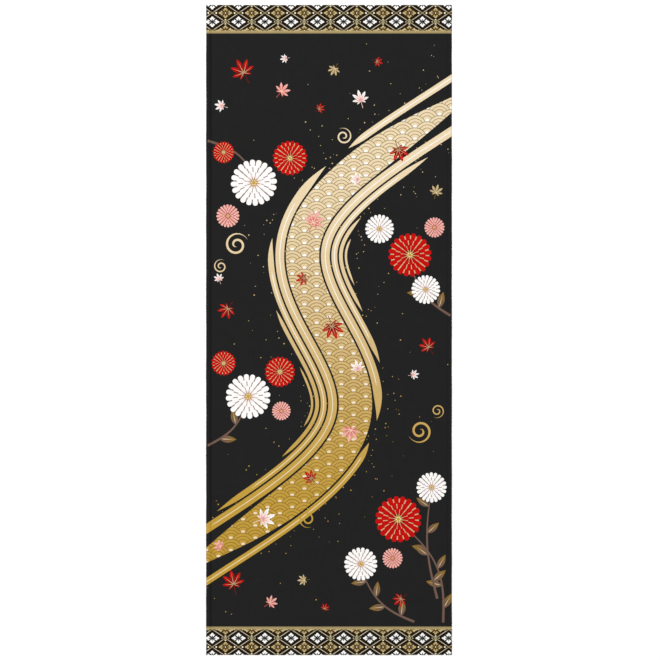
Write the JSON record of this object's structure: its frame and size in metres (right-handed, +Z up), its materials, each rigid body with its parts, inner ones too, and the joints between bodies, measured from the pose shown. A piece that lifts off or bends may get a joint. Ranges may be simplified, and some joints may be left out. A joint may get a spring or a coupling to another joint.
{
  "type": "tenugui towel",
  "caption": "Flat rectangular cotton hand towel with woven selvages and raw cut ends, printed on one face, lying smooth with its printed side up.",
  "frame": {"origin": "centre of the underside, on the surface that the towel lies on", "axes": "+Z up out of the printed face, +Y along the towel towards the top of the print, +X across it to the right"},
  "size_m": [0.34, 0.9, 0.0016],
  "materials": {
    "printed_cotton": "matt plain-weave cotton, dyed in one piece"
  },
  "bodies": {
    "root": {"towel": "printed_cotton"}
  },
  "joints": []
}
